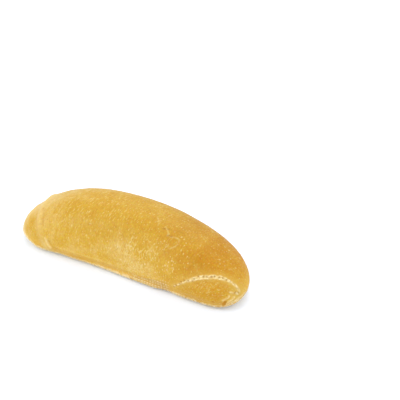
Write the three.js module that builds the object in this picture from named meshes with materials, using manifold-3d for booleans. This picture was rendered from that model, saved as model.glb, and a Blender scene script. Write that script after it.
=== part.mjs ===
// Oil bread roll: one long, soft roll of rolled-up dough that lies on its flat baked base.
// Millimetres, +Z up. +X runs along the roll to its blunt end, -X to its nosed end, and -Y is the front.
import * as THREE from 'three';
import { mergeVertices } from 'three/addons/utils/BufferGeometryUtils.js';
import Module from 'manifold-3d';

// Main sizes of the roll
const LENGTH = 145;
const WIDTH = 45;
const HEIGHT = 35.5;
const BELLY_HEIGHT = 11.5; // height of the widest line at mid length
const BASE_SINK = 2; // how far the lower curve would reach under the flat base
const BASE_ROUNDING = 1.2; // how softly the side turns into the base
const BOW = 5.6; // how far the middle is bowed towards +Y in plan
const END_SKEW = -0.15; // slant of the two ends in plan, as run along X for each mm of Y
const TAPER = -0.055; // share of the width lost at the blunt end and gained at the nosed end

// Powers of the curves: 2 is an ellipse, and more is squarer
const CROWN_POWER = 2.3;
const FLANK_POWER = 3.2;
const BLUNT_END = { planPower: 7.8, archPower: 2.08, bellyHeight: 5.5 };
const NOSED_END = { planPower: 5.7, archPower: 2, bellyHeight: 3.8 };

// The seam round the blunt end, where the last turn of dough laps over the one inside it
const SEAM_POINT = new THREE.Vector3(58.1, -12.9, 14.1);
const SEAM_NORMAL = new THREE.Vector3(-0.371, 0.847, 0.381).normalize();
const SEAM_FROM_DEG = 201; // where the lip leaves the base at the front, as an angle in the seam's plane
const SEAM_TO_DEG = -38; // where the lip runs out on the end face
const SEAM_STEPS = 60;
const SEAM_TOLERANCE = 0.01;
const SLOPE_STEP = 0.05;
const LIP_RADIUS = 1.5;
const LIP_SINK = 0.8; // depth of the lip's centre under the crust
const LIP_TAIL_SINK = 1; // extra depth at the lip's two tails
const LIP_TAIL_POWER = 6; // how late along the lip its tails sink away
const LIP_SIDES = 12;
const LAP_DEPTH = 0.8; // hollow beside the lip, on the panel inside the seam
const LAP_OFFSET = -2.6;
const LAP_WIDTH = 2;

// The crease that sets the nosed end's cap off from the roll
const CREASE_POINT = new THREE.Vector3(-47.6, -15.5, 14.4);
const CREASE_NORMAL = new THREE.Vector3(-0.832, -0.327, -0.448).normalize();
const CREASE_BULGE = 1.25; // how far the cap's edge bulges from its plane towards the tip
const CREASE_BULGE_HEIGHT = 12.5; // height where it bulges most
const CREASE_BULGE_SPREAD = 7.5; // height above and below there at which it meets its plane
const CREASE_DEPTH = 0.8;
const CREASE_OFFSET = 5.5; // how far past the cap's edge the crease lies
const CREASE_WIDTH = 3;
const CREASE_LOW_SHARE = 0.4; // share of the depth that is left low on the sides
const CREASE_LOW = 12;
const CREASE_HIGH = 22;
const CAP_EDGE = 0.45; // how far the last turn of dough stands out at the cap's edge
const CAP_EDGE_OFFSET = 0.5;
const CAP_EDGE_WIDTH = 2.2;
const CAP_SWELL = 0.75; // how far the cap's tip stands out beyond the crease
const CAP_SWELL_START = 9;
const CAP_SWELL_END = 16;

// Relief fades out near the base, so that the base stays flat
const RELIEF_FLOOR = 1;
const RELIEF_FULL = 7;

const UP = new THREE.Vector3(0, 0, 1);

const SEGMENTS_AROUND = 56;
const SEGMENTS_ALONG = 74;

const CRUST_COLOUR = 0xdcab55;
const CRUST_ROUGHNESS = 0.5;

const wasm = await Module();
wasm.setup();

// The larger of two values, with the corner between them rounded
function smoothMax(a, b, rounding) {
  const blend = Math.max(rounding - Math.abs(a - b), 0) / rounding;
  return Math.max(a, b) + (blend ** 3 * rounding) / 6;
}

// Cross-section of the roll at one station, which runs from -1 at the nosed tip to 1 at the blunt one
function crossSection(station) {
  const end = station > 0 ? BLUNT_END : NOSED_END;
  const reach = Math.min(Math.abs(station), 1);
  const plan = Math.sqrt(1 - reach ** end.planPower);
  const arch = Math.sqrt(1 - reach ** end.archPower);
  const belly = end.bellyHeight + (BELLY_HEIGHT - end.bellyHeight) * arch;
  return {
    middle: BOW * (1 - station ** 2),
    halfWidth: (WIDTH / 2) * plan * (1 + TAPER * station),
    belly,
    crownRise: (HEIGHT - BELLY_HEIGHT) * arch,
    flankDrop: (belly + BASE_SINK) * plan,
  };
}

// Point of the crust for a point of the unit sphere whose poles lie on the X axis
function crustPoint(unit) {
  const section = crossSection(unit.x);
  const ring = Math.hypot(unit.y, unit.z);
  const across = ring > 0 ? unit.y / ring : 0;
  const up = ring > 0 ? unit.z / ring : 1;
  const power = up >= 0 ? CROWN_POWER : FLANK_POWER;
  const swell = (Math.abs(across) ** power + Math.abs(up) ** power) ** (-1 / power);
  const rise = up >= 0 ? section.crownRise : section.flankDrop;
  const y = section.middle + section.halfWidth * swell * across;
  const z = smoothMax(section.belly + rise * swell * up, 0, BASE_ROUNDING);
  return new THREE.Vector3((LENGTH / 2) * unit.x + END_SKEW * y, y, z);
}

// Below 0 inside the bare form of the roll, 0 on its crust and above 0 outside
function crustField(point) {
  const section = crossSection((point.x - END_SKEW * point.y) / (LENGTH / 2));
  const height = point.z - section.belly;
  const power = height >= 0 ? CROWN_POWER : FLANK_POWER;
  const rise = height >= 0 ? section.crownRise : section.flankDrop;
  const across = Math.abs((point.y - section.middle) / section.halfWidth);
  return across ** power + Math.abs(height / rise) ** power - 1;
}

// Direction straight out of the crust at a point of the bare form
function crustNormal(point) {
  const slope = new THREE.Vector3();
  for (const axis of ['x', 'y', 'z']) {
    const ahead = point.clone();
    const behind = point.clone();
    ahead[axis] += SLOPE_STEP;
    behind[axis] -= SLOPE_STEP;
    slope[axis] = crustField(ahead) - crustField(behind);
  }
  return slope.normalize();
}

// Bell curve of height 1 round a centre
function bell(value, centre, width) {
  return Math.exp(-(((value - centre) / width) ** 2));
}

// How far the crust stands out from the bare form at a point
function reliefAt(point, seam, crease) {
  const { lerp, smoothstep } = THREE.MathUtils;
  const fade = smoothstep(point.z, RELIEF_FLOOR, RELIEF_FULL);
  const lap = -LAP_DEPTH * bell(seam.distanceToPoint(point), LAP_OFFSET, LAP_WIDTH);
  const bend = (point.z - CREASE_BULGE_HEIGHT) / CREASE_BULGE_SPREAD;
  const past = crease.distanceToPoint(point) - CREASE_BULGE * (1 - bend ** 2);
  const depth = CREASE_DEPTH * lerp(CREASE_LOW_SHARE, 1, smoothstep(point.z, CREASE_LOW, CREASE_HIGH));
  const groove = -depth * bell(past, CREASE_OFFSET, CREASE_WIDTH);
  const edge = CAP_EDGE * bell(past, CAP_EDGE_OFFSET, CAP_EDGE_WIDTH);
  const cap = CAP_SWELL * smoothstep(past, CAP_SWELL_START, CAP_SWELL_END);
  return fade * (lap + groove + edge + cap);
}

// The roll's body: a sphere whose points are moved onto the crust, with its relief
function makeBody(seam, crease) {
  const stock = new THREE.SphereGeometry(1, SEGMENTS_AROUND, SEGMENTS_ALONG).rotateZ(-Math.PI / 2);
  stock.deleteAttribute('normal');
  stock.deleteAttribute('uv');
  const body = mergeVertices(stock);
  const position = body.getAttribute('position');
  const point = new THREE.Vector3();
  for (let i = 0; i < position.count; i += 1) {
    const crust = crustPoint(point.fromBufferAttribute(position, i));
    position.setXYZ(i, crust.x, crust.y, crust.z);
  }
  body.computeVertexNormals();
  const normals = body.getAttribute('normal').clone();
  const normal = new THREE.Vector3();
  for (let i = 0; i < position.count; i += 1) {
    point.fromBufferAttribute(position, i);
    normal.fromBufferAttribute(normals, i);
    point.addScaledVector(normal, reliefAt(point, seam, crease));
    position.setXYZ(i, point.x, point.y, point.z);
  }
  body.deleteAttribute('normal');
  return body;
}

// Path of the lip's centre, where the seam's plane meets the crust, sunk deeper at both tails
function makeSeamPath() {
  const along = new THREE.Vector3().crossVectors(SEAM_NORMAL, UP).normalize();
  const upward = new THREE.Vector3().crossVectors(along, SEAM_NORMAL);
  const points = [];
  for (let i = 0; i <= SEAM_STEPS; i += 1) {
    const share = i / SEAM_STEPS;
    const angle = THREE.MathUtils.degToRad(THREE.MathUtils.lerp(SEAM_FROM_DEG, SEAM_TO_DEG, share));
    const ray = along.clone().multiplyScalar(Math.cos(angle)).addScaledVector(upward, Math.sin(angle));
    let near = 0;
    let far = LENGTH;
    while (far - near > SEAM_TOLERANCE) {
      const half = (near + far) / 2;
      if (crustField(SEAM_POINT.clone().addScaledVector(ray, half)) < 0) near = half;
      else far = half;
    }
    const point = SEAM_POINT.clone().addScaledVector(ray, near);
    const tail = Math.abs(2 * share - 1) ** LIP_TAIL_POWER;
    points.push(point.addScaledVector(crustNormal(point), -LIP_SINK - LIP_TAIL_SINK * tail));
  }
  return new THREE.CatmullRomCurve3(points);
}

// The rounded lip of dough along the seam
function makeLip() {
  const section = new THREE.Shape().absarc(0, 0, LIP_RADIUS, 0, 2 * Math.PI);
  const lip = new THREE.ExtrudeGeometry(section, {
    steps: SEAM_STEPS,
    curveSegments: LIP_SIDES,
    bevelEnabled: false,
    extrudePath: makeSeamPath(),
  });
  lip.deleteAttribute('normal');
  lip.deleteAttribute('uv');
  return mergeVertices(lip);
}

// A closed mesh as a solid that can be joined to others
function toSolid(geometry) {
  const vertProperties = new Float32Array(geometry.getAttribute('position').array);
  const triVerts = new Uint32Array(geometry.getIndex().array);
  return new wasm.Manifold(new wasm.Mesh({ numProp: 3, vertProperties, triVerts }));
}

// A joined solid as a mesh geometry, centred on the base and standing on it
function toGeometry(solid) {
  const mesh = solid.getMesh();
  const geometry = new THREE.BufferGeometry();
  geometry.setAttribute('position', new THREE.BufferAttribute(new Float32Array(mesh.vertProperties), 3));
  geometry.setIndex(new THREE.BufferAttribute(new Uint32Array(mesh.triVerts), 1));
  geometry.computeBoundingBox();
  const centre = geometry.boundingBox.getCenter(new THREE.Vector3());
  geometry.translate(-centre.x, -centre.y, -geometry.boundingBox.min.z);
  geometry.computeVertexNormals();
  return geometry;
}

const seam = new THREE.Plane().setFromNormalAndCoplanarPoint(SEAM_NORMAL, SEAM_POINT);
const crease = new THREE.Plane().setFromNormalAndCoplanarPoint(CREASE_NORMAL, CREASE_POINT);
const crust = new THREE.MeshStandardMaterial({ color: CRUST_COLOUR, roughness: CRUST_ROUGHNESS, metalness: 0 });

const roll = new THREE.Mesh(toGeometry(toSolid(makeBody(seam, crease)).add(toSolid(makeLip()))), crust);
roll.name = 'roll';

const breadRoll = new THREE.Group();
breadRoll.add(roll);

export default breadRoll;
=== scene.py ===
"""Oil bread roll: one soft roll of rolled-up dough, with its golden crust, on a white floor."""
import math
from collections import namedtuple

import bpy
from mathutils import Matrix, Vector


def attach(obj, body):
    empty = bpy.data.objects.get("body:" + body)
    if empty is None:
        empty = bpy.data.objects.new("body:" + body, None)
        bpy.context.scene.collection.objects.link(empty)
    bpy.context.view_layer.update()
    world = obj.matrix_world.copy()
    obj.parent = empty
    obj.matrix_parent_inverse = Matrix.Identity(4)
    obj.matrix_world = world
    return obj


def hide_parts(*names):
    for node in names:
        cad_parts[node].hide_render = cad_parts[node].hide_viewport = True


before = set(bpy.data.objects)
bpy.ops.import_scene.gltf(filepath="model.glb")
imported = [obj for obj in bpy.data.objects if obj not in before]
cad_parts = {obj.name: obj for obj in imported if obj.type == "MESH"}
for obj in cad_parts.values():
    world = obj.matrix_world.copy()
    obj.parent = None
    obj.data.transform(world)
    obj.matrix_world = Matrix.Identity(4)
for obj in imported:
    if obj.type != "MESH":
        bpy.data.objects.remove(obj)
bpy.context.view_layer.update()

MM = 0.001

# Form of the roll, by the rule that its solid follows: lengths in metres, the rest bare
FORM = {
    "Length": 145 * MM,
    "Width": 45 * MM,
    "Height": 35.5 * MM,
    "Belly Height": 11.5 * MM,
    "Base Sink": 2 * MM,
    "Base Rounding": 1.2 * MM,
    "Bow": 5.6 * MM,
    "End Skew": -0.15,
    "Taper": -0.055,
    "Crown Power": 2.3,
    "Flank Power": 3.2,
    "Blunt Plan Power": 7.8,
    "Blunt Arch Power": 2.08,
    "Blunt Belly Height": 5.5 * MM,
    "Nosed Plan Power": 5.7,
    "Nosed Arch Power": 2.0,
    "Nosed Belly Height": 3.8 * MM,
    "Segments Around": 256,
    "Segments Along": 384,
    "Front Crowding": 0.4,
    "Front Turn": math.radians(-95),
}

# Relief of the crust: lengths in metres, cells a radian, the rest bare
RELIEF = {
    "Seam Point": (58.1 * MM, -12.9 * MM, 14.1 * MM),
    "Seam Normal": (-0.371, 0.847, 0.381),
    "Lip Height": 0.4 * MM,
    "Lip Width": 0.38 * MM,
    "Lip Offset": 0.7 * MM,
    "Lip Bed Width": 0.84 * MM,
    "Lip Waver": 0.5 * MM,
    "Lip Waver Size": 2 * MM,
    "Bead Size": 1.1 * MM,
    "Pore Pitch": 2.1 * MM,
    "Pore Scatter": 0.8 * MM,
    "Pore Radius": 0.43 * MM,
    "Pore Depth": 0.4 * MM,
    "Lap Depth": 0.4 * MM,
    "Lap Offset": 3.2 * MM,
    "Lap Width": 2.4 * MM,
    "Crease Point": (-47.6 * MM, -15.5 * MM, 14.4 * MM),
    "Crease Normal": (-0.832, -0.327, -0.448),
    "Crease Bulge": 1.25 * MM,
    "Crease Bulge Height": 12.5 * MM,
    "Crease Bulge Spread": 7.5 * MM,
    "Crease Waver": 0.8 * MM,
    "Crease Waver Size": 9 * MM,
    "Crease Depth": 0.3 * MM,
    "Crease Offset": 5.5 * MM,
    "Crease Width": 3 * MM,
    "Cap Edge Height": 0.85 * MM,
    "Cap Edge Offset": 1.2 * MM,
    "Cap Edge Width": 1.9 * MM,
    "Cap Swell": 0.75 * MM,
    "Cap Swell Start": 3 * MM,
    "Cap Swell End": 12 * MM,
    "Gather Depth": 0.28 * MM,
    "Gather Pitch": 1.7 * MM,
    "Gather Cells": 1.5,
    "Tip Swell": 0.5 * MM,
    "Wrinkle Depth": 0.2 * MM,
    "Wrinkle Pitch": 3 * MM,
    "Wrinkle Cells": 1.6,
    "Lump Height": 0.35 * MM,
    "Lump Size": 24 * MM,
    "Dimple Height": 0.12 * MM,
    "Dimple Size": 7 * MM,
    "Blister Height": 0.07 * MM,
    "Blister Size": 1.3 * MM,
    "Blister Length": 2.21 * MM,
    "Ridge Height": 0.4 * MM,
    "Ridge Width": 0.6 * MM,
    "Ridge Waver": 0.5 * MM,
    "Ridge Waver Size": 1.6 * MM,
    "Nick Depth": 0.2 * MM,
    "Nick Core": 0.18 * MM,
    "Nick Reach": 0.576 * MM,
    "Nick Waver": 0.2 * MM,
    "Shade Depth": 0.18 * MM,
    "Shade Width": 0.8 * MM,
    "Scratch Height": 0.14 * MM,
    "Scratch Width": 0.36 * MM,
    "Bloom Width": 6.5 * MM,
    "End Swell": 0.2 * MM,
    "Foot Height": 1.4 * MM,
    "Foot Width": 2.2 * MM,
    "Front Foot": 1.9 * MM,
    "Cap Foot": 1.2 * MM,
    "Blunt Foot": 0.7 * MM,
    "Panel Foot": 0.5 * MM,
    "Fold Setback": 0.8 * MM,
    "Tip Setback": 0.6 * MM,
    "Base Waver": 1 * MM,
    "Base Waver Size": 12 * MM,
    "Band Depth": 0.3 * MM,
    "Band Height": 5 * MM,
    "Band Width": 1.4 * MM,
    "Ledge Height": 0.08 * MM,
    "Ledge Level": 7.7 * MM,
    "Ledge Width": 0.6 * MM,
    "Weave Height": 0.25 * MM,
    "Weave Pitch": 1.8 * MM,
    "Weave Drop": 2.2 * MM,
    "Weave Waver": 0.35 * MM,
    "Weave Row Size": 5 * MM,
    "Weave Column Size": 5 * MM,
    "Weave Start": 8 * MM,
    "Weave Climb": 0.2,
    "Wear Size": 3 * MM,
    "Seed": 4.0,
}
CRUST_SIZES = FORM | RELIEF

# Noises of the relief; each adds its number in this list to the seed
NOISES = ("Gather", "Lip Waver", "Crease Waver", "Wrinkle", "Lump", "Dimple", "Base Waver", "Ridge Waver",
          "Bead", "Wear", "Weave Row", "Weave Column")
LUMP_DETAIL = 1.0

# Lines on the crust, each a curve through four points, in millimetres
SEAM_LINE = (
    ((39.4, -17.6, 8.0), (46.1, -17.9, 12.8), (52.7, -17.0, 16.8), (60.0, -14.1, 18.6)),
    ((60.0, -14.1, 18.6), (65.9, -10.0, 17.2), (70.1, -7.1, 13.6), (72.1, -6.0, 9.9)),
    ((72.1, -6.0, 9.9), (72.2, -6.1, 9.4), (72.2, -6.7, 9.2), (71.9, -7.8, 9.6)),
)
RIDGES = (
    ((70.0, -11.3, 11.4), (70.4, -10.8, 11.1), (70.7, -10.4, 10.8), (71.0, -9.9, 10.5)),
    ((69.6, -13.0, 6.1), (70.4, -12.1, 6.9), (70.9, -11.2, 7.5), (71.5, -10.1, 8.2)),
    ((71.4, -9.9, 5.1), (72.1, -8.2, 6.3), (72.6, -6.0, 6.4), (72.8, -4.1, 6.4)),
    ((67.8, -14.7, 7.6), (68.5, -14.2, 8.2), (69.2, -13.4, 8.7), (69.9, -12.5, 9.6)),
    ((-45.0, -19.0, 11.4), (-44.0, -19.1, 9.7), (-43.0, -19.0, 8.1), (-41.8, -18.9, 6.4)),
)
SHADES = (
    ((-43.0, -19.0, 10.2), (-41.8, -19.0, 8.7), (-40.3, -18.9, 7.2), (-37.7, -18.8, 6.7)),
    ((-53.5, -9.2, 22.6), (-51.2, -12.0, 22.0), (-49.5, -14.5, 20.5), (-48.4, -16.6, 18.2)),
    ((71.0, -9.9, 10.3), (71.3, -9.3, 10.1), (71.5, -8.8, 10.0), (71.7, -8.3, 9.8)),
)
NICKS = (
    ((67.4, -14.2, 4.1), (67.7, -14.5, 5.1), (68.1, -14.4, 5.9), (68.4, -14.3, 6.7)),
    ((68.3, -13.6, 4.1), (68.6, -13.8, 5.0), (68.7, -13.9, 5.7), (69.0, -13.6, 6.3)),
    ((67.9, -13.9, 4.0), (68.2, -14.1, 5.0), (68.4, -14.2, 5.8), (68.8, -13.9, 6.6)),
    ((62.5, -16.9, 5.5), (62.8, -16.9, 5.9), (63.1, -16.8, 6.0), (63.5, -16.7, 5.8)),
)
FRONT_PORES = (
    ((25.0, -5.1, 32.2), (25.2, -5.0, 32.2), (25.5, -5.0, 32.2), (25.7, -4.9, 32.1)),
    ((27.0, -4.4, 32.3), (27.2, -4.3, 32.3), (27.4, -4.2, 32.3), (27.6, -4.1, 32.2)),
    ((29.1, -7.6, 30.6), (29.3, -7.5, 30.5), (29.6, -7.5, 30.5), (29.8, -7.4, 30.5)),
    ((31.1, -7.5, 30.3), (31.3, -7.5, 30.3), (31.5, -7.5, 30.2), (31.7, -7.4, 30.2)),
)
SCRATCHES = (
    ((25.4, -3.7, 32.7), (27.0, -4.8, 32.1), (28.3, -5.9, 31.5), (29.4, -7.2, 30.7)),
    ((30.4, -7.8, 30.3), (32.3, -7.4, 30.2), (34.2, -7.0, 30.1), (35.9, -7.1, 29.8)),
    ((35.9, -7.1, 29.8), (36.7, -8.4, 29.1), (36.6, -10.0, 28.1), (36.0, -11.0, 27.3)),
    ((35.4, -11.2, 27.3), (35.0, -11.8, 26.8), (34.2, -12.1, 26.5), (33.7, -12.5, 26.2)),
    ((32.0, -11.0, 27.8), (32.1, -11.4, 27.4), (31.9, -12.0, 26.9), (31.3, -12.4, 26.5)),
    ((17.9, -0.2, 34.3), (19.0, -1.3, 34.0), (20.0, -2.4, 33.6), (21.2, -3.8, 33.1)),
    ((18.7, -3.5, 33.4), (19.2, -2.9, 33.5), (20.0, -2.2, 33.7), (20.8, -1.4, 33.8)),
    ((59.3, -17.2, 13.6), (59.5, -17.1, 13.9), (59.6, -17.0, 14.2), (59.7, -16.9, 14.4)),
    ((59.8, -17.6, 10.7), (60.3, -17.4, 11.5), (60.7, -17.2, 12.4), (61.0, -17.0, 13.2)),
)
BLOOMS = (
    ((2.0, -16.3, 19.0), (7.0, -16.6, 16.5), (11.0, -16.8, 14.0), (16.0, -16.9, 11.0)),
    ((27.0, -15.6, 21.5), (29.5, -15.9, 20.5), (31.5, -16.3, 19.3), (33.5, -16.6, 18.0)),
    ((22.0, -17.0, 12.5), (24.5, -17.3, 11.0), (27.0, -17.5, 9.5), (29.5, -17.7, 8.0)),
)
LINE_STEPS = 24
PORE_SEED = 3

# Parts of a zone: an edge rises from outside to inside, and a hump falls off on both sides of its middle.
# Both are in millimetres, but bare for the places that are shares
Edge = namedtuple("Edge", "place outside inside")
Hump = namedtuple("Hump", "place middle width")
SHARE_PLACES = ("station", "bead_noise", "weave", "fray", "thread_bend", "thread_patches")

# Edges that more than one zone has
SOLE = Edge("height", 0.5, 0.1)
NOSE = Edge("along", -28, -62)
WORN = Edge("fray", -0.3, 0.25)
SEAM_SIDE = (Edge("height", 12, 18), Edge("height", 31, 24))

# Zones of the relief by name, each the product of its parts
RELIEF_ZONES = {
    "off_base": [Edge("height", 1, 7)],
    "off_floor": [Edge("height", 0.4, 1.2)],
    "sole": [SOLE],
    "back_half": [Edge("across", -4, 4)],
    "parted_seam": [Edge("along", 45, 53)],
    "open_seam": [Edge("along", 69, 63)],
    "full_lip": [Edge("along", 40, 48)],
    "deep_pores": [Edge("along", 70, 65)],
    "beads": [Edge("bead_noise", -0.28, 0.28)],
    "lap": [Edge("station", 0.45, 0.6), Edge("height", 4, 8)],
    "panel": [Edge("seam_side", 0.5, -2), Edge("along", 38, 46)],
    "upper_crease": [Edge("height", 12, 22)],
    "gathered_nose": [Edge("nose_gap", 2, 5)],
    "tip": [Hump("height", 5, 2), Edge("station", -0.9, -0.97)],
    "wrinkled_half": [Edge("station", -0.25, -0.6)],
    "full_end": [Edge("station", 0.9, 0.985), Edge("height", 16, 10)],
    "Front Foot": [Edge("along", -28, 14), Edge("along", 34, 24)],
    "Cap Foot": [Hump("along", -53, 5)],
    "Blunt Foot": [Hump("along", 66, 5)],
    "Panel Foot": [Hump("along", 41, 5)],
    "Fold Setback": [Hump("along", -38, 5)],
    "Tip Setback": [Hump("along", -62, 4)],
    "band": [Edge("along", -46, -40)],
    "ledge": [Edge("along", -44, -36), Edge("along", 14, 0)],
    "woven_front": [Edge("along", 4, 16), Edge("along", 38, 33),
                    Edge("weave_level", 4.2, 2.8), Edge("across", 4, -4)],
    "woven_rim": [Edge("low_height", 3.5, 2)],
    "knots": [Edge("weave", 0.35, 0.75)],
}

# Share of a mark that stays outside the zone where it is full
LEAST = {"open_seam": 0.35, "full_lip": 0.65, "deep_pores": 0.5, "upper_crease": 0.4, "wrinkled_half": 0.25}
LEAST_BEAD = 0.05
LEAST_BED = 0.3

# Where the foot of the crust spreads and where it sets back: each has a size and a zone of its name
SPREADS = ("Front Foot", "Cap Foot", "Blunt Foot", "Panel Foot")
SETBACKS = ("Fold Setback", "Tip Setback")

# Wear of the woven print, its strength on the sole, and how much the nose's gathers tell in the colour
MEAN_WEAR = 0.75
WEAR_SPREAD = 0.6
SOLE_PRINT = 0.55
GATHER_TONE = 1.5

# Blisters: share of cells filled, and least and largest radius in cells
BLISTERS = {"seed": 6.0, "share": 0.45, "small": 0.25, "large": 0.6}

# Radius of the roll that turns its angle into a distance round it
ARC_RADIUS = 18 * MM

# Least slope of the crust against a plane that cuts it, which guards a division by the slope
LEAST_SLOPE = 0.06

# How far a seed moves a pattern of flecks, in cells, and the share of a fleck's radius that is full
FLECK_SHIFT = (17.0, 29.0)
FLECK_CORE = 0.3


def arithmetic(operation, swapped=False):
    """Method for an operator of Value, which adds a Math node."""
    def method(self, other):
        values = (other, self) if swapped else (self, other)
        return self.graph.math(operation, *values)
    return method


class Value:
    """One output of a node. Arithmetic on it adds Math nodes to its tree."""

    def __init__(self, graph, socket):
        self.graph = graph
        self.socket = socket

    __add__ = arithmetic("ADD")
    __radd__ = arithmetic("ADD", swapped=True)
    __sub__ = arithmetic("SUBTRACT")
    __rsub__ = arithmetic("SUBTRACT", swapped=True)
    __mul__ = arithmetic("MULTIPLY")
    __rmul__ = arithmetic("MULTIPLY", swapped=True)
    __truediv__ = arithmetic("DIVIDE")
    __rtruediv__ = arithmetic("DIVIDE", swapped=True)
    __pow__ = arithmetic("POWER")

    def __neg__(self):
        return self.graph.math("MULTIPLY", self, -1.0)

    def __abs__(self):
        return self.graph.math("ABSOLUTE", self)


class Graph:
    """A node tree in the making, for geometry or for a material."""

    def __init__(self, tree):
        self.tree = tree

    def add(self, kind, inputs=None, **settings):
        """A new node with its settings, and its inputs set or linked by name or number."""
        node = self.tree.nodes.new(kind)
        for name, setting in settings.items():
            setattr(node, name, setting)
        for key, value in (inputs or {}).items():
            self.feed(node.inputs[key], value)
        return node

    def feed(self, socket, value):
        """Links a value to a socket, or sets the socket to a constant."""
        if isinstance(value, Value):
            self.tree.links.new(value.socket, socket)
        else:
            socket.default_value = value

    def out(self, node, key=0):
        return Value(self, node.outputs[key])

    def value(self, kind, inputs=None, key=0, **settings):
        """The first output of a new node, or the one that the key names."""
        return self.out(self.add(kind, inputs, **settings), key)

    def math(self, operation, *values):
        return self.value("ShaderNodeMath", dict(enumerate(values)), operation=operation)

    def smallest(self, a, b):
        return self.math("MINIMUM", a, b)

    def largest(self, a, b):
        return self.math("MAXIMUM", a, b)

    def root(self, value):
        return self.math("SQRT", value)

    def choose(self, mask, where_true, where_false):
        """One value where the mask is 1 and another where it is 0."""
        inputs = {0: mask, 2: where_false, 3: where_true}
        return self.value("ShaderNodeMix", inputs, data_type="FLOAT")

    def step(self, value, low, high):
        """0 below low, 1 above high and smooth between them; falls instead where low is above high."""
        inputs = {"Value": value, "From Min": low, "From Max": high}
        return self.value("ShaderNodeMapRange", inputs, interpolation_type="SMOOTHSTEP")

    def bell(self, distance, width):
        """Bell curve of height 1 that falls off over a width."""
        share = distance / width
        return self.math("EXPONENT", -(share * share))

    def wave(self, distance, pitch):
        """Wave between 0 and 1 that repeats at a pitch."""
        return 0.5 + 0.5 * self.math("COSINE", distance * (2 * math.pi) / pitch)

    def vector(self, x, y, z):
        return self.value("ShaderNodeCombineXYZ", {0: x, 1: y, 2: z})

    def parts(self, vector):
        node = self.add("ShaderNodeSeparateXYZ", {0: vector})
        return [self.out(node, key) for key in range(3)]

    def dot(self, a, b):
        return self.value("ShaderNodeVectorMath", {0: a, 1: b}, key="Value", operation="DOT_PRODUCT")

    def vector_math(self, operation, a, b):
        return self.value("ShaderNodeVectorMath", {0: a, 1: b}, operation=operation)

    def scaled(self, vector, factor):
        return self.value("ShaderNodeVectorMath", {0: vector, "Scale": factor}, operation="SCALE")

    def noise(self, vector, scale, seed, detail=2.0, roughness=0.5):
        """Soft noise between about -1 and 1."""
        inputs = {"Vector": vector, "W": seed, "Scale": scale, "Detail": detail, "Roughness": roughness}
        return self.value("ShaderNodeTexNoise", inputs, noise_dimensions="4D") * 2.0 - 1.0

    def flecks(self, cells, seed, share, small, large):
        """Scattered spots, 1 at their middles: a share of the unit cells hold one, of a random radius."""
        shift_along, shift_around = FLECK_SHIFT
        moved = self.vector_math("ADD", cells, (seed * shift_along, seed * shift_around, 0.0))
        node = self.add("ShaderNodeTexVoronoi", {"Vector": moved, "Scale": 1.0}, voronoi_dimensions="2D")
        pick, spread, _ = self.parts(self.out(node, "Color"))
        radius = small + spread * (large - small)
        spot = self.step(self.out(node, "Distance") / radius, 1.0, FLECK_CORE)
        return spot * self.step(pick, 1.0 - share, 1.0 - share * 0.5)


def add_object(name, data):
    """A new object in the scene."""
    thing = bpy.data.objects.new(name, data)
    bpy.context.collection.objects.link(thing)
    return thing


def add_material(name, settings):
    """A new material and its surface shader, with some of its inputs set."""
    material = bpy.data.materials.new(name)
    material.use_nodes = True
    surface = material.node_tree.nodes["Principled BSDF"]
    for key, setting in settings.items():
        surface.inputs[key].default_value = setting
    return material, surface


def declare_inputs(graph, table):
    """Named inputs of a geometry tree, by the kind of each value, as a table of values."""
    kinds = {float: "NodeSocketFloat", int: "NodeSocketInt", tuple: "NodeSocketVector"}
    for name, value in table.items():
        graph.tree.interface.new_socket(name, in_out="INPUT", socket_type=kinds[type(value)])
    node = graph.add("NodeGroupInput")
    return {name: graph.out(node, name) for name in table}


def roll_form(graph, size, unit):
    """Point of the bare roll for a point of the unit ball, with its station and its turn round the roll."""
    across_ball, up_ball, station = graph.parts(unit)
    blunt = graph.math("GREATER_THAN", station, 0.0)
    plan_power = graph.choose(blunt, size["Blunt Plan Power"], size["Nosed Plan Power"])
    arch_power = graph.choose(blunt, size["Blunt Arch Power"], size["Nosed Arch Power"])
    end_belly = graph.choose(blunt, size["Blunt Belly Height"], size["Nosed Belly Height"])
    reach = graph.smallest(abs(station), 1.0)
    plan = graph.root(1.0 - reach ** plan_power)
    arch = graph.root(1.0 - reach ** arch_power)
    belly = end_belly + (size["Belly Height"] - end_belly) * arch
    half_width = size["Width"] * 0.5 * plan * (1.0 + size["Taper"] * station)

    even_turn = graph.math("ARCTAN2", across_ball, up_ball)
    turn = even_turn - size["Front Crowding"] * graph.math("SINE", even_turn - size["Front Turn"])
    across = graph.math("SINE", turn)
    up = graph.math("COSINE", turn)
    upper = graph.math("GREATER_THAN", up, 0.0)
    power = graph.choose(upper, size["Crown Power"], size["Flank Power"])
    crown_rise = (size["Height"] - size["Belly Height"]) * arch
    rise = graph.choose(upper, crown_rise, (belly + size["Base Sink"]) * plan)
    swell = (abs(across) ** power + abs(up) ** power) ** (-1.0 / power)
    y = bowed_middle(size, station) + half_width * swell * across
    z = graph.math("SMOOTH_MAX", belly + rise * swell * up, 0.0, size["Base Rounding"])
    x = size["Length"] * 0.5 * station + size["End Skew"] * y
    return graph.vector(x, y, z), station, turn


def bowed_middle(size, station):
    """Middle of the roll's width at a station, which follows its bow."""
    return size["Bow"] * (1.0 - station * station)


def curve_handles(start, first, second, end):
    """Handles of the Bezier curve that passes through two points at its thirds."""
    start, first, second, end = [Vector(point) for point in (start, first, second, end)]
    start_handle = (-5 * start + 18 * first - 9 * second + 2 * end) / 6
    end_handle = (2 * start - 9 * first + 18 * second - 5 * end) / 6
    return start_handle, end_handle


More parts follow.
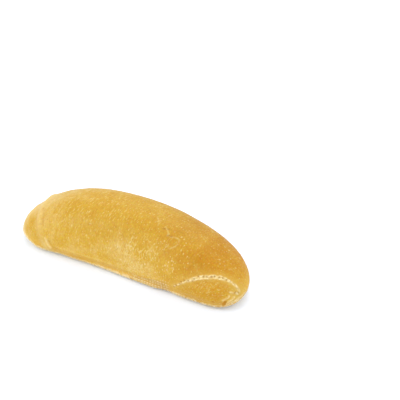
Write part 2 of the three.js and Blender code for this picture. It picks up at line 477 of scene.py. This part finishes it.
def drawn_lines(graph, lines):
    """Curves through the points of some lines."""
    join = graph.add("GeometryNodeJoinGeometry")
    for line in lines:
        start_handle, end_handle = curve_handles(*line)
        inputs = {"Resolution": LINE_STEPS,
                  "Start": Vector(line[0]) * MM, "Start Handle": start_handle * MM,
                  "End Handle": end_handle * MM, "End": Vector(line[3]) * MM}
        curve = graph.add("GeometryNodeCurvePrimitiveBezierSegment", inputs)
        graph.tree.links.new(curve.outputs["Curve"], join.inputs[0])
    return graph.out(join)


def laid_gap(graph, drawn, surface, target):
    """Distance from the nearest edge or point of what is drawn, once it lies on a surface."""
    nearest = graph.value("GeometryNodeProximity", {0: surface}, target_element="FACES", key="Position")
    laid = graph.value("GeometryNodeSetPosition", {"Geometry": drawn, "Position": nearest})
    return graph.value("GeometryNodeProximity", {0: laid}, target_element=target, key="Distance")


def line_gap(graph, lines, surface):
    """Distance from the nearest of some lines drawn on a surface."""
    drawn = graph.value("GeometryNodeCurveToMesh", {"Curve": drawn_lines(graph, lines)})
    return laid_gap(graph, drawn, surface, "EDGES")


def pore_gap(graph, lines, size, surface):
    """Distance from the nearest of the pores strung along some lines, each a little off its line."""
    inputs = {"Curve": drawn_lines(graph, lines), "Length": size["Pore Pitch"]}
    points = graph.value("GeometryNodeCurveToPoints", inputs, mode="LENGTH", key="Points")
    reach = size["Pore Scatter"]
    low = graph.vector(-reach, -reach, -reach)
    high = graph.vector(reach, reach, reach)
    inputs = {0: low, 1: high, "Seed": PORE_SEED}
    scatter = graph.value("FunctionNodeRandomValue", inputs, data_type="FLOAT_VECTOR")
    points = graph.value("GeometryNodeSetPosition", {"Geometry": points, "Offset": scatter})
    return laid_gap(graph, points, surface, "POINTS")


def keep_on_mesh(graph, geometry, name, value, kind="FLOAT"):
    """Geometry that keeps a value at each of its points, under a name."""
    inputs = {"Geometry": geometry, "Name": name, "Value": value}
    return graph.value("GeometryNodeStoreNamedAttribute", inputs, data_type=kind, domain="POINT")


class Crust:
    """Places on the crust by name, and the zones that they bound."""

    def __init__(self, graph, zones):
        self.graph = graph
        self.zones = zones
        self.places = {}

    def zone(self, name):
        """1 inside a zone and 0 outside it, with soft edges."""
        parts = []
        for part in self.zones[name]:
            place = self.places[part.place]
            unit = 1.0 if part.place in SHARE_PLACES else MM
            if isinstance(part, Edge):
                parts.append(self.graph.step(place, part.outside * unit, part.inside * unit))
            else:
                parts.append(self.graph.bell(place - part.middle * unit, part.width * unit))
        return math.prod(parts)


class CrustRelief(Crust):
    """The crust's relief, gathered as a rise along its normal, and the masks its material reads."""

    def __init__(self, graph, size, geometry):
        super().__init__(graph, RELIEF_ZONES)
        self.size = size
        self.geometry = geometry
        self.bare = geometry
        self.point = graph.value("GeometryNodeInputPosition")
        self.normal = graph.value("GeometryNodeInputNormal")
        self.turn = self.kept("turn")
        station = self.kept("station")
        self.along, y, self.height = graph.parts(self.point)
        self.across = y - bowed_middle(size, station)
        self.places = {"along": self.along, "across": self.across, "height": self.height, "station": station}
        self.off_base = self.zone("off_base")
        self.rise = 0.0
        self.foot_reach = 0.0
        self.gathers = 0.0

    def kept(self, name):
        """A value kept on the mesh before its points moved."""
        return self.graph.value("GeometryNodeInputNamedAttribute", {"Name": name}, data_type="FLOAT")

    def keep(self, name, value, kind="FLOAT"):
        """Keeps a value on the mesh under a name, for the material."""
        self.geometry = keep_on_mesh(self.graph, self.geometry, name, value, kind)

    def raise_by(self, mask, name):
        """Raises the crust by a size, where the mask says."""
        self.rise = self.rise + mask * self.size[name]

    def lower_by(self, mask, name):
        """Lowers the crust by a size, where the mask says."""
        self.rise = self.rise - mask * self.size[name]

    def fade(self, name):
        """1 inside a zone, and the share that is left of a mark outside it."""
        return LEAST[name] + (1.0 - LEAST[name]) * self.zone(name)

    def seed(self, name):
        """Seed of one of the noises."""
        return self.size["Seed"] + NOISES.index(name)

    def noise(self, name, detail=2.0):
        """Soft noise over the crust, with its own seed and size."""
        return self.graph.noise(self.point, 1.0 / self.size[name + " Size"], self.seed(name), detail)

    def round_noise(self, name, distance):
        """Soft noise drawn out round the roll, by a distance along it."""
        along = distance / self.size[name + " Pitch"]
        around = self.turn * self.size[name + " Cells"]
        return self.graph.noise(self.graph.vector(along, around, 0.0), 1.0, self.seed(name))

    def plane_gap(self, plane_point, plane_normal):
        """Distance from a plane, counted along its normal."""
        graph = self.graph
        return graph.dot(graph.vector_math("SUBTRACT", self.point, plane_point), plane_normal)

    def cut_gap(self, plane_point, plane_normal):
        """Distance along the crust from the line where a plane cuts it, by sides of the plane."""
        graph = self.graph
        lean = graph.dot(self.normal, plane_normal)
        slope = graph.root(graph.largest(1.0 - lean * lean, LEAST_SLOPE))
        return self.plane_gap(plane_point, plane_normal) / slope

    def seam(self):
        """Beaded lips along the seam, parted at its middle, and the lap and the panel below them."""
        graph, size = self.graph, self.size
        gap = line_gap(graph, SEAM_LINE, self.bare) + self.noise("Lip Waver") * size["Lip Waver"]
        side = self.cut_gap(size["Seam Point"], size["Seam Normal"])
        self.places["seam_side"] = side
        self.places["bead_noise"] = self.noise("Bead")
        parted = self.zone("parted_seam") * self.fade("open_seam")
        beads = LEAST_BEAD + self.zone("beads")
        lips = graph.bell(abs(gap) - size["Lip Offset"] * parted, size["Lip Width"])
        lips = lips * beads * self.fade("full_lip")
        bed = graph.bell(gap, size["Lip Bed Width"]) * (LEAST_BED + (1.0 - LEAST_BED) * parted)
        lap = graph.bell(side + size["Lap Offset"], size["Lap Width"]) * self.zone("lap")
        self.raise_by(lips, "Lip Height")
        self.lower_by(lap, "Lap Depth")
        self.keep("lip", lips)
        self.keep("seam_gap", gap)
        self.keep("seam_bed", bed)
        self.keep("panel", self.zone("panel"))

    def pores(self):
        """Small pores, strung along the seam and single on the front."""
        graph, size = self.graph, self.size
        seam_gap = pore_gap(graph, SEAM_LINE, size, self.bare)
        front_gap = line_gap(graph, FRONT_PORES, self.bare)
        pores = graph.bell(graph.smallest(seam_gap, front_gap), size["Pore Radius"])
        self.lower_by(pores, "Pore Depth")
        self.keep("pore", pores * self.fade("deep_pores"))

    def cap(self):
        """Crease, raised edge, swell and gathers of the cap at the nosed end, and its fuller tip."""
        graph, size = self.graph, self.size
        bend = (self.height - size["Crease Bulge Height"]) / size["Crease Bulge Spread"]
        gap = self.plane_gap(size["Crease Point"], size["Crease Normal"])
        gap = gap - size["Crease Bulge"] * (1.0 - bend * bend)
        gap = gap + self.noise("Crease Waver") * size["Crease Waver"]
        self.places["nose_gap"] = gap
        crease = graph.bell(gap - size["Crease Offset"], size["Crease Width"]) * self.fade("upper_crease")
        edge = graph.bell(gap - size["Cap Edge Offset"], size["Cap Edge Width"])
        swell = graph.step(gap, size["Cap Swell Start"], size["Cap Swell End"])
        self.gathers = self.round_noise("Gather", gap) * self.zone("gathered_nose")
        self.raise_by(self.off_base * edge, "Cap Edge Height")
        self.raise_by(self.off_base * swell, "Cap Swell")
        self.lower_by(self.off_base * crease, "Crease Depth")
        self.raise_by(self.off_base * self.gathers, "Gather Depth")
        self.raise_by(self.off_base * self.zone("tip"), "Tip Swell")
        self.keep("crease", crease)
        self.keep("nose_gap", gap)

    def skin(self):
        """Wrinkles round the roll, soft lumps, dimples and small blisters."""
        graph, size = self.graph, self.size
        wrinkle = self.round_noise("Wrinkle", self.along) * self.fade("wrinkled_half")
        around = self.turn * ARC_RADIUS / size["Blister Length"]
        blisters = graph.flecks(graph.vector(self.along / size["Blister Size"], around, 0.0), **BLISTERS)
        self.raise_by(self.off_base * wrinkle, "Wrinkle Depth")
        self.raise_by(self.off_base * self.noise("Lump", LUMP_DETAIL), "Lump Height")
        self.raise_by(self.off_base * self.noise("Dimple"), "Dimple Height")
        self.raise_by(self.off_base * blisters, "Blister Height")
        self.keep("wrinkle", wrinkle + GATHER_TONE * self.gathers)

    def marks(self):
        """Puckers of the ends, nicks, shaded folds, fine raised scratches and the blooms of the front."""
        graph, size = self.graph, self.size
        waver = self.noise("Ridge Waver")
        fray = waver * size["Ridge Waver"]
        ridge = graph.bell(line_gap(graph, RIDGES, self.bare) + fray, size["Ridge Width"])
        shade = graph.bell(line_gap(graph, SHADES, self.bare) + fray, size["Shade Width"])
        nick_gap = line_gap(graph, NICKS, self.bare) + waver * size["Nick Waver"]
        nick = graph.step(nick_gap, size["Nick Reach"], size["Nick Core"])
        scratch = graph.bell(line_gap(graph, SCRATCHES, self.bare), size["Scratch Width"])
        self.raise_by(ridge, "Ridge Height")
        self.lower_by(shade, "Shade Depth")
        self.lower_by(nick, "Nick Depth")
        self.raise_by(scratch, "Scratch Height")
        self.keep("ridge", ridge)
        self.keep("shade", shade)
        self.keep("nick", nick)
        self.keep("scratch", scratch)
        self.keep("bloom", graph.bell(line_gap(graph, BLOOMS, self.bare), size["Bloom Width"]))

    def foot(self):
        """Foot of the crust at the floor, which spreads or sets back, and the fuller blunt end."""
        size = self.size
        spread = sum(self.zone(name) * size[name] for name in SPREADS)
        setback = sum(self.zone(name) * size[name] for name in SETBACKS)
        level = self.graph.bell(self.height - size["Foot Height"], size["Foot Width"])
        self.foot_reach = (spread - setback) * level
        self.raise_by(self.zone("full_end"), "End Swell")

    def base_edge(self):
        """Groove where the side turns under, with a low ledge above it."""
        graph, size = self.graph, self.size
        low = self.height + self.noise("Base Waver") * size["Base Waver"]
        self.places["low_height"] = low
        band = graph.bell(low - size["Band Height"], size["Band Width"]) * self.zone("band")
        ledge = graph.bell(low - size["Ledge Level"], size["Ledge Width"]) * self.zone("ledge")
        self.lower_by(band, "Band Depth")
        self.raise_by(ledge, "Ledge Height")
        self.keep("band", band)
        self.keep("ledge", ledge)

    def woven_print(self):
        """Print of the baking mesh: worn knots at the front and the rim of the base, and a fainter sole."""
        graph, size = self.graph, self.size
        along = self.along + self.noise("Weave Row") * size["Weave Waver"]
        down = abs(self.across) + self.height + self.noise("Weave Column") * size["Weave Waver"]
        self.places["weave"] = graph.wave(along, size["Weave Pitch"]) * graph.wave(down, size["Weave Drop"])
        climb = size["Weave Climb"] * (self.along - size["Weave Start"])
        self.places["weave_level"] = self.places["low_height"] - climb
        front = self.zone("woven_front")
        sole = self.zone("sole")
        wear = MEAN_WEAR + WEAR_SPREAD * self.noise("Wear")
        knots = self.zone("knots") * graph.largest(front, self.zone("woven_rim")) * wear
        self.raise_by(knots * self.zone("off_floor"), "Weave Height")
        self.keep("print", graph.largest(front * (1.0 - sole), SOLE_PRINT * sole))
        self.keep("weave", knots)

    def offset(self):
        """Move of each point: the rise along the normal, and the foot outwards from the middle."""
        graph = self.graph
        outward = self.zone("back_half") * 2.0 - 1.0
        foot = graph.vector(0.0, self.foot_reach * outward, 0.0)
        return graph.vector_math("ADD", graph.scaled(self.normal, self.rise), foot)


def build_crust_tree(material):
    """Geometry tree of the crust: a ball drawn onto the roll's form, with its relief."""
    tree = bpy.data.node_groups.new("crust of the roll", "GeometryNodeTree")
    tree.interface.new_socket("Crust", in_out="OUTPUT", socket_type="NodeSocketGeometry")
    graph = Graph(tree)
    size = declare_inputs(graph, CRUST_SIZES)

    # The ball's own coordinates are kept, because the points move before the relief reads them
    inputs = {"Segments": size["Segments Around"], "Rings": size["Segments Along"], "Radius": 1.0}
    geometry = graph.value("GeometryNodeMeshUVSphere", inputs, key="Mesh")
    form, station, turn = roll_form(graph, size, graph.value("GeometryNodeInputPosition"))
    geometry = keep_on_mesh(graph, geometry, "station", station)
    geometry = keep_on_mesh(graph, geometry, "turn", turn)
    geometry = graph.value("GeometryNodeSetPosition", {"Geometry": geometry, "Position": form})

    relief = CrustRelief(graph, size, geometry)
    relief.seam()
    relief.pores()
    relief.cap()
    relief.skin()
    relief.marks()
    relief.foot()
    relief.base_edge()
    relief.woven_print()
    relief.keep("skin", graph.vector(relief.along, relief.turn * ARC_RADIUS, relief.height), "FLOAT_VECTOR")
    inputs = {"Geometry": relief.geometry, "Offset": relief.offset()}
    geometry = graph.value("GeometryNodeSetPosition", inputs)

    # The roll stands centred on the origin
    box = graph.add("GeometryNodeBoundBox", {"Geometry": geometry})
    span = graph.vector_math("ADD", graph.out(box, "Min"), graph.out(box, "Max"))
    centre = graph.vector_math("MULTIPLY", span, (-0.5, -0.5, 0.0))
    geometry = graph.value("GeometryNodeSetPosition", {"Geometry": geometry, "Offset": centre})
    geometry = graph.value("GeometryNodeSetShadeSmooth", {"Geometry": geometry})
    geometry = graph.value("GeometryNodeRealizeInstances", {"Geometry": geometry})
    geometry = graph.value("GeometryNodeSetMaterial", {"Geometry": geometry, "Material": material})
    output = graph.add("NodeGroupOutput")
    graph.feed(output.inputs["Crust"], geometry)
    return tree


def make_crust(material):
    """The crust as a plain mesh, made by its geometry tree."""
    tree = build_crust_tree(material)
    piece = add_object("bread_roll_crust", bpy.data.meshes.new("bread_roll_crust"))
    modifier = piece.modifiers.new("crust", "NODES")
    modifier.node_group = tree
    for item in tree.interface.items_tree:
        if item.in_out == "INPUT":
            modifier[item.identifier] = CRUST_SIZES[item.name]
    depsgraph = bpy.context.evaluated_depsgraph_get()
    made = piece.evaluated_get(depsgraph)
    mesh = bpy.data.meshes.new_from_object(made, preserve_all_data_layers=True, depsgraph=depsgraph)
    piece.modifiers.remove(modifier)
    piece.data = mesh
    return piece


# Colours of the crust, linear: the ramp runs from the palest to the deepest bake
BAKE_RAMP = (
    (0.0, (0.545, 0.367, 0.105)),
    (0.45, (0.475, 0.274, 0.021)),
    (1.0, (0.392, 0.175, 0.0024)),
)
# The deepest bake colour, laid in the nose's crease as painted shade
CREASE_SHADE_COLOUR = BAKE_RAMP[-1][1]
# Pale crust of the cap's edge and hem; it also lays the painted highlight on the cap's edge and along the
# nose's far outline
CAP_EDGE_COLOUR = (0.64, 0.49, 0.195)
BAND_COLOUR = (0.52, 0.29, 0.052)
PRINT_COLOUR = (0.47, 0.263, 0.047)
KNOT_COLOUR = (0.80, 0.67, 0.40)
# Pale rim of the base, partly painted light from the floor
RIM_COLOUR = (0.74, 0.595, 0.325)
FLECK_COLOUR = (0.655, 0.525, 0.205)
BLOOM_COLOUR = (0.66, 0.50, 0.295)
BED_COLOUR = (0.645, 0.49, 0.20)
LIP_COLOUR = (0.86, 0.745, 0.42)
GLOW_COLOUR = (0.56, 0.348, 0.058)
PIT_COLOUR = (0.36, 0.152, 0.005)
NICK_COLOUR = (0.45, 0.19, 0.003)
PORE_COLOUR = (0.27, 0.10, 0.006)

# Masks and distances that the mesh keeps for the material
KEPT_MASKS = ("lip", "seam_bed", "panel", "pore", "crease", "wrinkle", "ridge", "shade", "nick", "scratch",
              "bloom", "band", "ledge", "print", "weave")
KEPT_PLACES = ("seam_gap", "nose_gap")

# Noise of the crust's colour: solid in the roll, or drawn out by a cell size along each of two places
SolidNoise = namedtuple("SolidNoise", "size seed detail roughness", defaults=[2.0, 0.5])
DrawnNoise = namedtuple("DrawnNoise", "sizes seed detail", defaults=[2.0])
SOLID_NOISES = {
    "mottle": SolidNoise(7 * MM, seed=1.0, detail=4.0, roughness=0.6),
    "grain": SolidNoise(1 * MM, seed=2.0, detail=3.0, roughness=0.65),
    "fray": SolidNoise(1.3 * MM, seed=3.0),
    "hue": SolidNoise(0.6 * MM, seed=4.0),
    "thread_patches": SolidNoise(5 * MM, seed=10.0),
}
DRAWN_NOISES = {
    "fibre": DrawnNoise({"along": 0.75 * MM, "arc": 1.3 * MM}, seed=11.0),
    "thread_bend": DrawnNoise({"along": 2.6 * MM, "arc": 3.4 * MM}, seed=9.0, detail=1.0),
    "run": DrawnNoise({"along": 9 * MM, "height": 0.7 * MM}, seed=13.0),
}

# Flecks of the skin: cell sizes along and round the roll, share of cells filled, least and largest radius
# in cells, and how far they lean towards the blunt end as they rise
Fleck = namedtuple("Fleck", "along around share small large seed lean", defaults=[0.12])
FLECKS = {
    "strokes": Fleck(along=1.3 * MM, around=3.4 * MM, share=0.5, small=0.2, large=0.42, seed=5.0),
    "streaks": Fleck(along=0.7 * MM, around=3.4 * MM, share=0.7, small=0.2, large=0.45, seed=6.0, lean=0.7),
    "dots": Fleck(along=2.2 * MM, around=2.6 * MM, share=0.4, small=0.12, large=0.28, seed=7.0),
    "grits": Fleck(along=1.4 * MM, around=1.7 * MM, share=0.45, small=0.14, large=0.36, seed=12.0),
    "pits": Fleck(along=2.6 * MM, around=3.2 * MM, share=0.35, small=0.08, large=0.22, seed=8.0),
}
FLECK_FRAY = 0.3
FLECK_MOTTLE = 0.4

# Zones of the colour by name, each the product of its parts
PAINT_ZONES = {
    "blunt_end": [Edge("along", 5, 52)],
    "blunt_half": [Edge("along", 0, 45)],
    # Painted light: brighter towards the blunt end
    "far_end_light": [Edge("along", 30, 66)],
    "nose": [NOSE],
    "upper_nose": [NOSE, Edge("height", 12, 24)],
    "nose_side": [Hump("nose_gap", 7, 3.6), Edge("height", 21, 15)],
    "nosed_flank": [Edge("along", -42, -60)],
    "tip": [Edge("nose_gap", 12.5, 15.5)],
    # Painted highlight: a pale rim along the nose's far outline
    "tip_rim_highlight": [Hump("tip_side", 62, 8), Edge("along", -54, -61)],
    # Pale band on the cap's raised edge: partly its own paler crust, partly painted highlight on its lit
    # side
    "cap_edge": [Hump("nose_gap", 1.1, 1.8), Edge("height", 2, 5)],
    "hem": [Hump("nose_gap", 3.5, 2.8), Edge("height", 11, 7)],
    "above_base": [Edge("height", 2, 5)],
    "upper_side": [Edge("height", 12, 33)],
    # Painted light: the flank brightens towards the floor and the foot more so, standing in for light from
    # the floor
    "flank": [Edge("height", 33, 3)],
    "foot": [Edge("height", 11, 4)],
    "sole": [SOLE],
    "end_foot": [Edge("along", 66, 72), Edge("height", 15, 8)],
    # Painted highlight: paler along the top of the crown towards the nose
    "crest_highlight": [Edge("along", -8, -45), Edge("height", 28, 34)],
    "crown": [Edge("along", 6, -10), Edge("height", 25, 31)],
    # Painted light: paler on the upper crown towards the blunt end
    "far_crown_light": [Edge("along", 36, 48), Edge("height", 24, 30)],
    # Painted shade: darker in a band along the upper side of the nosed half
    "cheek_shade": [Hump("height", 26, 4.5), Edge("along", 18, 0)],
    "above_seam": [Edge("along", 38, 56), *SEAM_SIDE],
    # Painted shade: darker on the front above the seam, towards the blunt end
    "shoulder_shade": [Hump("along", 54, 9), Edge("arc", -8, -15), *SEAM_SIDE],
    "seam_glow": [Hump("seam_gap", 0, 3.5)],
    "seam_end": [Edge("along", 58, 69)],
    "crowd": [Hump("along", 14, 14), Edge("arc", -12, -21)],
    "threads": [Edge("thread_bend", 0.09, 0.02), Edge("thread_patches", -0.1, 0.25)],
    "nosed_rim": [Edge("along", -45, -66)],
    "blunt_rim": [Edge("along", 65, 73)],
    # Pale rim along the base: partly its own pale, beaded crust, partly painted light from the floor
    "rim": [Edge("rim_level", 4.2, 2.6)],
    "worn": [WORN],
    "worn_sole": [WORN, SOLE],
    "broken": [Edge("fray", -0.5, 0.1)],
}

# Direction in which the tip's rim is counted, crowding of the threads, and the base rim's waver and rise
TIP_SIDE = (-1.0, 0.8, 0.3)
THREAD_CROWDING = 0.25
RIM_WAVER = 0.6 * MM
NOSED_RIM_RISE = 4.2 * MM
BLUNT_RIM_RISE = 3 * MM

# Shares that masks take away: the panel from the flank and the foot, the nose from the flank, the print
# from the rim
PANEL_COVER = 0.7
NOSE_COVER = 0.5
PRINT_COVER = 0.6

# How far each mask bakes, brightens and turns the ground colour, and its share in the gloss and the grain.
# Painted light and shade are among them: the foot, the lower flank, the far end, the top of the crown
# towards the nose and its upper part towards the blunt end are painted lighter, the front above the seam and
# the upper side of the nosed half painted darker. The colour also goes deeper in the hollows of the wrinkles
# and gathers and paler on their raised parts
BAKE = {"all": 0.38, "blunt_end": 0.38, "upper_side": 0.12, "nose": -0.022, "upper_nose": -0.418,
        "tip": -0.5, "end_foot": -0.36, "crest_highlight": -0.2, "nose_side": 0.13, "far_crown_light": -0.12,
        "above_seam": 0.12, "mottle": 0.38, "grain": 0.3, "blunt_grain": 0.2, "wrinkle": -0.25,
        "bloom": -0.2}
BRIGHTNESS = {"all": 1.0, "fibre": 0.28, "grain": 0.12, "foot": 0.17, "flank": 0.13, "shoulder_shade": -0.1,
              "cheek_shade": -0.03, "far_end_light": 0.1}
HUE = {"all": 0.5, "hue": 0.04}
ROUGHNESS = {"all": 0.56, "grain": 0.08, "mottle": 0.06}
BUMP = {"grain": 0.5, "fibre": 0.7, "strokes": 0.5, "dots": 0.8, "threads": 0.5, "pits": -0.8}
BUMP_STRENGTH = 0.6
BUMP_DISTANCE = 0.1 * MM

# Tints over the ground colour in the order they are laid: mask, colour, and strength by masks
TINTS = (
    ("band", BAND_COLOUR, {"all": 0.65, "run": 0.6}),
    ("print", PRINT_COLOUR, {"all": 0.75}),
    ("ledge", FLECK_COLOUR, {"all": 0.2, "fray": 0.35}),
    ("rim", RIM_COLOUR, {"all": 0.12, "sole": 0.38, "worn": 0.85, "worn_sole": -0.7}),
    ("weave", KNOT_COLOUR, {"all": 0.9}),
    ("strokes", FLECK_COLOUR, {"all": 0.2, "blunt_half": -0.1, "crown": 0.2}),
    ("panel_streaks", FLECK_COLOUR, {"all": 0.36}),
    ("grits", FLECK_COLOUR, {"all": 0.28}),
    ("dots", FLECK_COLOUR, {"all": 0.42, "blunt_half": 0.08}),
    ("threads", FLECK_COLOUR, {"all": 0.08, "crowd": 0.45}),
    ("bloom", BLOOM_COLOUR, {"all": 0.02, "grits": 0.55}),
    ("pits", PIT_COLOUR, {"all": 0.4, "print": 0.4}),
    ("seam_glow", GLOW_COLOUR, {"all": 0.5, "seam_end": 0.3}),
    ("seam_bed", BED_COLOUR, {"all": 0.7, "fray": 0.4}),
    ("lip", LIP_COLOUR, {"all": 0.8, "fray": 0.4}),
    ("pore", PORE_COLOUR, {"all": 0.77}),
    ("cap_edge", CAP_EDGE_COLOUR, {"all": 0.22, "mottle": 0.25, "fray": 0.25}),
    ("hem", CAP_EDGE_COLOUR, {"all": 0.4}),
    ("tip_rim_highlight", CAP_EDGE_COLOUR, {"all": 0.5, "fray": 0.3}),
    # Painted shade: the crease of the nose darkened with the deepest bake colour
    ("crease_shade_above_base", CREASE_SHADE_COLOUR, {"all": 0.12}),
    ("ridge", LIP_COLOUR, {"all": 0.34, "fray": 0.45}),
    ("broken_scratch", FLECK_COLOUR, {"all": 0.4}),
    ("shade", PIT_COLOUR, {"all": 0.3}),
    ("nick", NICK_COLOUR, {"all": 1.0}),
)

# Soft, lightly oiled surface of the crust
CRUST_SURFACE = {
    "Specular IOR Level": 0.2,
    "Subsurface Weight": 0.1,
    "Subsurface Radius": (1.0, 0.55, 0.2),
    "Subsurface Scale": 2 * MM,
}


class CrustPaint(Crust):
    """The crust's colour, laid on in turn by masks: kept on the mesh, noise, flecks and zones."""

    def __init__(self, graph):
        super().__init__(graph, PAINT_ZONES)
        self.point = graph.value("ShaderNodeTexCoord", key="Object")
        skin = graph.value("ShaderNodeAttribute", attribute_name="skin", key="Vector")
        along, arc, height = graph.parts(skin)
        self.places = {"along": along, "arc": arc, "height": height}
        self.masks = {"all": 1.0}
        self.colour = None
        self.read_mesh()
        self.make_noise()
        self.scatter_flecks()
        self.find_places()
        self.cross_masks()

    def kept(self, name):
        """A value that the mesh keeps."""
        return self.graph.value("ShaderNodeAttribute", attribute_name=name, key="Fac")

    def mask(self, name):
        """A mask by name; a zone is made when it is first asked for."""
        if name not in self.masks:
            self.masks[name] = self.zone(name)
        return self.masks[name]

    def blend(self, shares):
        """Sum of some masks, each times its share."""
        return sum(share * self.mask(name) for name, share in shares.items())

    def read_mesh(self):
        """Masks and distances that the relief left on the mesh."""
        self.masks.update({name: self.kept(name) for name in KEPT_MASKS})
        self.places.update({name: self.kept(name) for name in KEPT_PLACES})

    def make_noise(self):
        """Mottle, grain, fibres and the like."""
        graph = self.graph
        for name, kind in SOLID_NOISES.items():
            scale = 1.0 / kind.size
            self.masks[name] = graph.noise(self.point, scale, kind.seed, kind.detail, kind.roughness)
        for name, kind in DRAWN_NOISES.items():
            cells = [self.places[place] / size for place, size in kind.sizes.items()]
            self.masks[name] = graph.noise(graph.vector(*cells, 0.0), 1.0, kind.seed, kind.detail)

    def scatter_flecks(self):
        """Spots of each kind, drawn out round the roll, leaning and a little frayed."""
        graph, arc = self.graph, self.places["arc"]
        for name, kind in FLECKS.items():
            leaning = self.places["along"] - arc * kind.lean
            along = leaning / kind.along + self.masks["fray"] * FLECK_FRAY
            around = arc / kind.around + self.masks["mottle"] * FLECK_MOTTLE
            cells = graph.vector(along, around, 0.0)
            self.masks[name] = graph.flecks(cells, kind.seed, kind.share, kind.small, kind.large)

    def find_places(self):
        """More places: the rim's level, the tip's side, the fray, and where threads lie."""
        rise = self.mask("nosed_rim") * NOSED_RIM_RISE + self.mask("blunt_rim") * BLUNT_RIM_RISE
        self.places.update({
            "rim_level": self.places["height"] + self.mask("mottle") * RIM_WAVER - rise,
            "tip_side": self.graph.dot(self.point, TIP_SIDE),
            "fray": self.mask("fray"),
            "thread_bend": abs(self.mask("thread_bend")),
            "thread_patches": self.mask("thread_patches") + THREAD_CROWDING * self.mask("crowd"),
        })

    def cross_masks(self):
        """Masks that hold only where another does, or that another covers in part."""
        off_panel = 1.0 - PANEL_COVER * self.mask("panel")
        off_nose = 1.0 - NOSE_COVER * self.mask("nosed_flank")
        off_print = 1.0 - PRINT_COVER * self.mask("print")
        self.masks.update({
            "foot": self.mask("foot") * off_panel,
            "flank": self.mask("flank") * off_panel * off_nose,
            "rim": self.mask("rim") * off_print,
            "blunt_grain": self.mask("grain") * self.mask("blunt_end"),
            "panel_streaks": self.mask("streaks") * self.mask("panel"),
            "crease_shade_above_base": self.mask("crease") * self.mask("above_base"),
            "broken_scratch": self.mask("scratch") * self.mask("broken"),
        })

    def bake(self):
        """Ground colour: deeper towards the blunt end and the crown, paler at the nosed tip, mottled; its
        brightness also holds painted light and shade.
        """
        ramp = self.graph.add("ShaderNodeValToRGB", {0: self.blend(BAKE)})
        elements = ramp.color_ramp.elements
        elements.new(BAKE_RAMP[1][0])
        for element, (position, colour) in zip(elements, BAKE_RAMP):
            element.position = position
            element.color = (*colour, 1.0)
        inputs = {"Hue": self.blend(HUE), "Value": self.blend(BRIGHTNESS), "Color": self.graph.out(ramp)}
        self.colour = self.graph.value("ShaderNodeHueSaturation", inputs)

    def lay_tints(self):
        """Lays each tint over what is there, by its mask and strength."""
        for name, colour, shares in TINTS:
            strength = self.mask(name) * self.blend(shares)
            inputs = {0: strength, 6: self.colour, 7: (*colour, 1.0)}
            self.colour = self.graph.value("ShaderNodeMix", inputs, data_type="RGBA", key=2)


def make_crust_material():
    """Golden, lightly oiled crust: colour by place, bake and speckle, with a fine skin grain."""
    material, surface = add_material("golden crust", CRUST_SURFACE)
    graph = Graph(material.node_tree)
    paint = CrustPaint(graph)
    paint.bake()
    paint.lay_tints()
    graph.feed(surface.inputs["Base Color"], paint.colour)
    graph.feed(surface.inputs["Roughness"], paint.blend(ROUGHNESS))
    inputs = {"Height": paint.blend(BUMP), "Strength": BUMP_STRENGTH, "Distance": BUMP_DISTANCE}
    graph.feed(surface.inputs["Normal"], graph.value("ShaderNodeBump", inputs))
    return material


# White studio floor and soft light
FLOOR_HALF = 3.0
FLOOR_DROP = 0.1 * MM
FLOOR_SURFACE = {
    "Base Color": (0.745, 0.80, 0.905, 1.0),
    "Roughness": 0.9,
    "Specular IOR Level": 0.0,
    "Emission Color": (0.97, 0.97, 1.0, 1.0),
    "Emission Strength": 0.12,
}
SKY_COLOUR = (1.0, 1.0, 1.0, 1.0)
SKY_STRENGTH = 1.06
SOFTBOX_SIZE = 1.0

# Soft lights by name: place in metres and power in watts; each looks at the roll
SOFT_LIGHTS = {
    "front softbox": ((-0.85, -0.95, 0.85), 9.2),
    "side softbox": ((1.15, -0.4, 0.9), 4.6),
    "back softbox": ((-0.3, 0.9, 1.3), 7.8),
}


def make_floor():
    """Plain white floor, larger than any view of the roll."""
    mesh = bpy.data.meshes.new("floor")
    signs = ((-1, -1), (1, -1), (1, 1), (-1, 1))
    corners = [(x * FLOOR_HALF, y * FLOOR_HALF, -FLOOR_DROP) for x, y in signs]
    mesh.from_pydata(corners, [], [range(len(corners))])
    material, _ = add_material("white floor", FLOOR_SURFACE)
    mesh.materials.append(material)
    return add_object("floor", mesh)


def make_lights():
    """Bright even surroundings and large soft lights."""
    world = bpy.data.worlds.new("white studio")
    world.use_nodes = True
    background = world.node_tree.nodes["Background"]
    background.inputs["Color"].default_value = SKY_COLOUR
    background.inputs["Strength"].default_value = SKY_STRENGTH
    bpy.context.scene.world = world
    for name, (place, power) in SOFT_LIGHTS.items():
        data = bpy.data.lights.new(name, "AREA")
        data.size = SOFTBOX_SIZE
        data.energy = power
        lamp = add_object(name, data)
        lamp.location = place
        lamp.rotation_euler = Vector(place).to_track_quat("Z", "Y").to_euler()


# Camera of the photograph, found from the roll's outline: angles in degrees, lens and sensor in mm
CAMERA_AZIMUTH = 32.58
CAMERA_ELEVATION = 28.0
CAMERA_DISTANCE = 680.5 * MM
CAMERA_TARGET = Vector((-8.35, 78.9, 0.0)) * MM
CAMERA_LENS = 100.0
CAMERA_SENSOR = 36.0
CAMERA_CLIP_START = 10 * MM


def make_camera():
    """Long lens that looks down at a point of the floor behind the roll."""
    data = bpy.data.cameras.new("camera")
    data.lens = CAMERA_LENS
    data.sensor_width = CAMERA_SENSOR
    data.clip_start = CAMERA_CLIP_START
    azimuth = math.radians(CAMERA_AZIMUTH)
    elevation = math.radians(CAMERA_ELEVATION)
    level = math.cos(elevation)
    back = Vector((math.sin(azimuth) * level, -math.cos(azimuth) * level, math.sin(elevation)))
    camera = add_object("camera", data)
    camera.location = CAMERA_TARGET + back * CAMERA_DISTANCE
    camera.rotation_euler = back.to_track_quat("Z", "Y").to_euler()
    bpy.context.scene.camera = camera


make_camera()
make_lights()
make_floor()
bpy.context.scene.view_settings.view_transform = "Standard"

crust = make_crust(make_crust_material())
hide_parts("roll")
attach(crust, "root")
